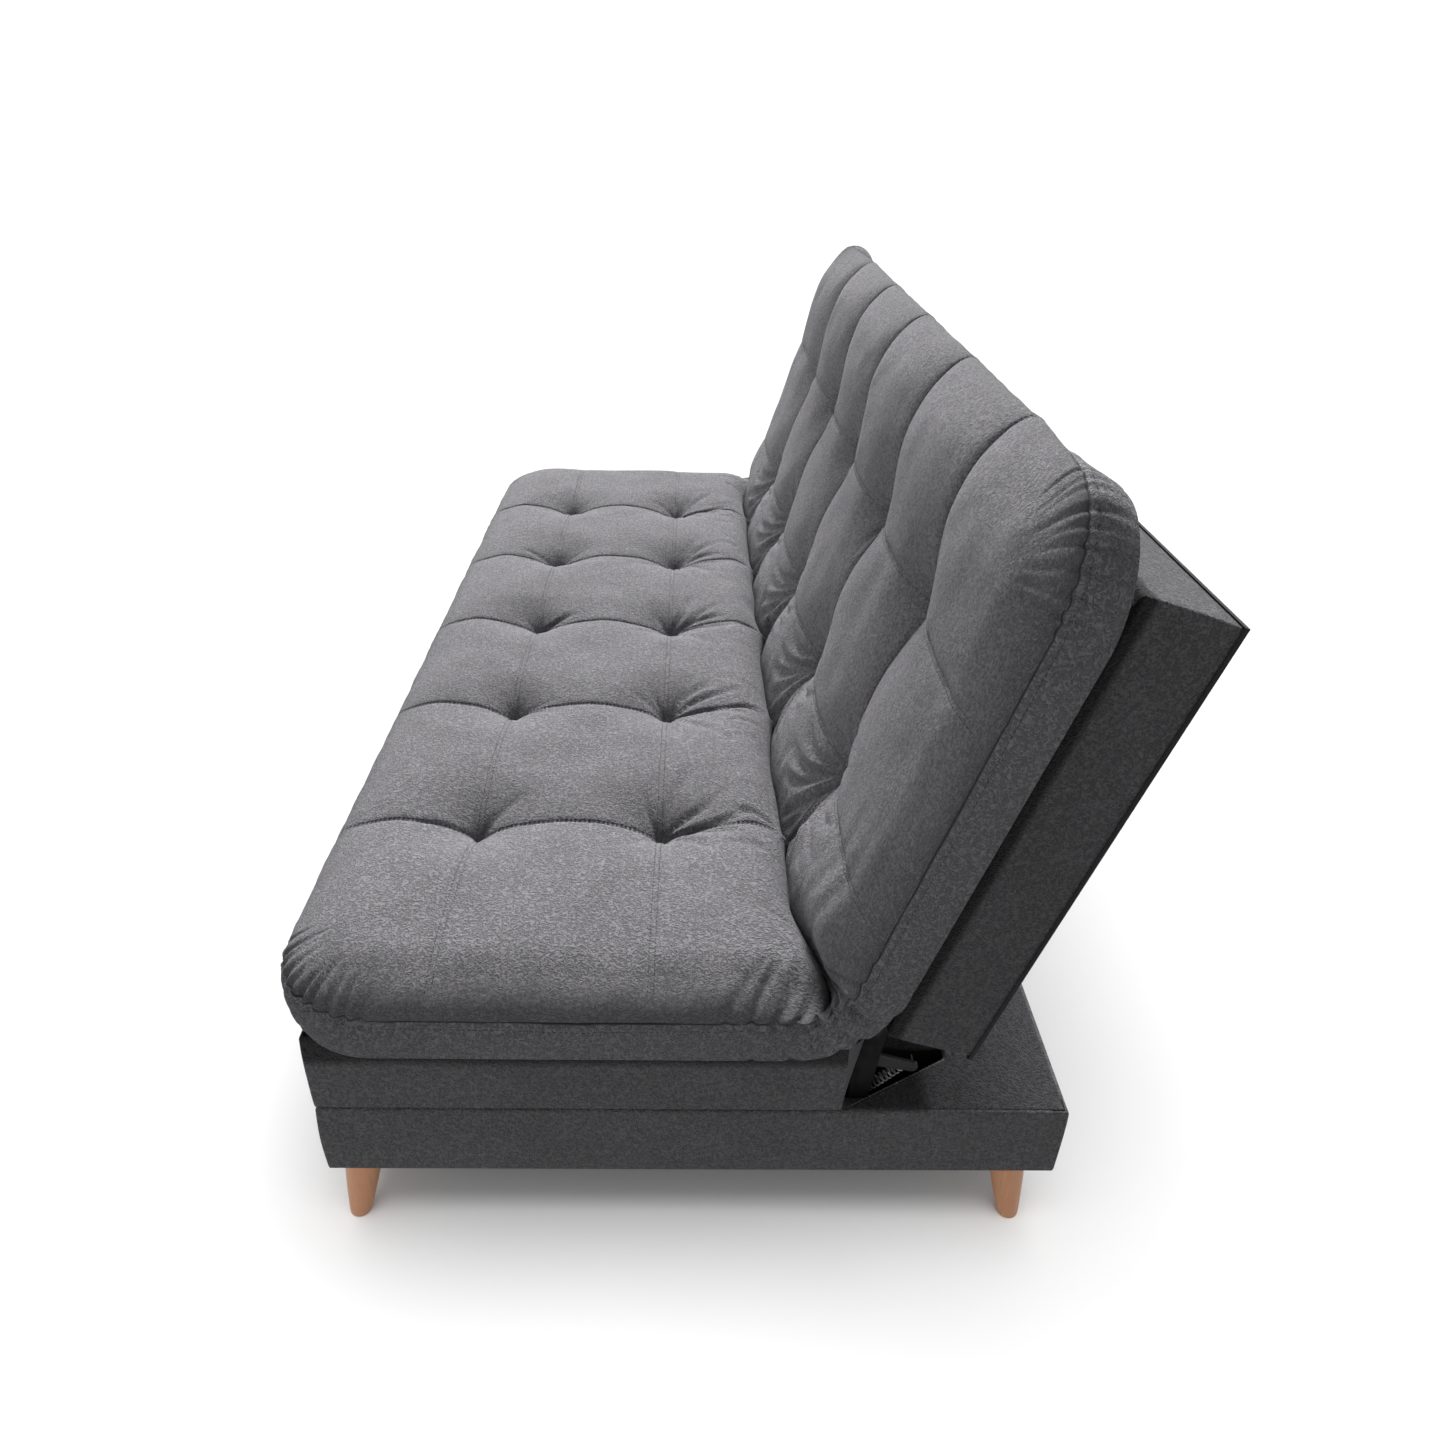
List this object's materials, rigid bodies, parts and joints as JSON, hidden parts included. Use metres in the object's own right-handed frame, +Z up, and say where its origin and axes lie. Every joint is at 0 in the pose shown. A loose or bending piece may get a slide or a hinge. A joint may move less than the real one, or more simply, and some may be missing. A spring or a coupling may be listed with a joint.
{
  "type": "futon sofa bed",
  "caption": "Click-clack futon sofa bed: tufted mattress on a seat box and a reclining back box, hinged over a low upholstered base on turned wooden legs.",
  "frame": {"origin": "middle of the object's box, on the floor", "axes": "+X along the sofa's length to its right end seen from the front, +Y to the back, +Z up"},
  "size_m": [1.948, 0.9652, 0.9432],
  "materials": {
    "mattress_velvet": "suede-like velvet with a fine pebbled grain",
    "box_velvet": "the same velvet, darker where it stands upright",
    "dust_cover": "black non-woven",
    "frame_timber": "planed pine",
    "leg_wood": "satin varnish",
    "steel_plate": "stamped plate, blackened",
    "zinc": "bright zinc plate"
  },
  "bodies": {
    "base": {"base_front_rail": "frame_timber", "base_rear_rail": "frame_timber", "base_deck_rail": "frame_timber", "base_cross_rail": "frame_timber", "base_centre_rail": "frame_timber", "base_side_rail_left": "frame_timber", "base_inner_rail_left": "frame_timber", "base_side_rail_right": "frame_timber", "base_inner_rail_right": "frame_timber", "base_cover": "box_velvet", "rear_deck_fabric": "box_velvet", "base_dust_cover": "dust_cover", "leg_front_left": "leg_wood", "leg_stud_front_left": "zinc", "corner_block_front_left": "frame_timber", "leg_front_right": "leg_wood", "leg_stud_front_right": "zinc", "corner_block_front_right": "frame_timber", "leg_rear_left": "leg_wood", "leg_stud_rear_left": "zinc", "corner_block_rear_left": "frame_timber", "leg_rear_right": "leg_wood", "leg_stud_rear_right": "zinc", "corner_block_rear_right": "frame_timber", "hinge_bracket_left": "steel_plate", "pivot_bolt_left": "zinc", "pawl_spring_left": "zinc", "hinge_bracket_right": "steel_plate", "pivot_bolt_right": "zinc", "pawl_spring_right": "zinc"},
    "seat": {"seat_front_rail": "frame_timber", "seat_rear_rail": "frame_timber", "seat_centre_rail": "frame_timber", "seat_side_rail_left": "frame_timber", "seat_side_rail_right": "frame_timber", "seat_slat_1": "frame_timber", "seat_slat_2": "frame_timber", "seat_slat_3": "frame_timber", "seat_slat_4": "frame_timber", "seat_cover": "box_velvet", "seat_dust_cover": "dust_cover", "seat_mattress": "mattress_velvet", "seat_arm_left": "steel_plate", "seat_arm_right": "steel_plate"},
    "back": {"back_top_rail": "frame_timber", "back_bottom_rail": "frame_timber", "back_centre_rail": "frame_timber", "back_side_rail_left": "frame_timber", "back_side_rail_right": "frame_timber", "back_slat_1": "frame_timber", "back_slat_2": "frame_timber", "back_slat_3": "frame_timber", "back_slat_4": "frame_timber", "back_cover": "box_velvet", "back_dust_cover": "dust_cover", "back_mattress": "mattress_velvet", "back_arm_left": "steel_plate", "back_arm_right": "steel_plate"},
    "pawl_left": {"pawl_left": "steel_plate"},
    "pawl_right": {"pawl_right": "steel_plate"}
  },
  "joints": [
    {"name": "seat_lift", "type": "hinge", "parent": "base", "child": "seat", "pos_m": [0, 0.2014, 0.324], "axis": [-1, 0, 0], "range_deg": [0, 35]},
    {"name": "back_recline", "type": "hinge", "parent": "base", "child": "back", "pos_m": [0, 0.2014, 0.324], "axis": [-1, 0, 0], "range_deg": [0, 72.84]},
    {"name": "pawl_left_click", "type": "hinge", "parent": "base", "child": "pawl_left", "pos_m": [-0.9157, 0.2034, 0.262], "axis": [1, 0, 0], "range_deg": [0, 8], "stiffness_Nm_per_rad": 0.3, "springref_deg": -17.19, "deforming": ["pawl_spring_left"]},
    {"name": "pawl_right_click", "type": "hinge", "parent": "base", "child": "pawl_right", "pos_m": [0.9157, 0.2034, 0.262], "axis": [1, 0, 0], "range_deg": [0, 8], "stiffness_Nm_per_rad": 0.3, "springref_deg": -17.19, "deforming": ["pawl_spring_right"]}
  ]
}
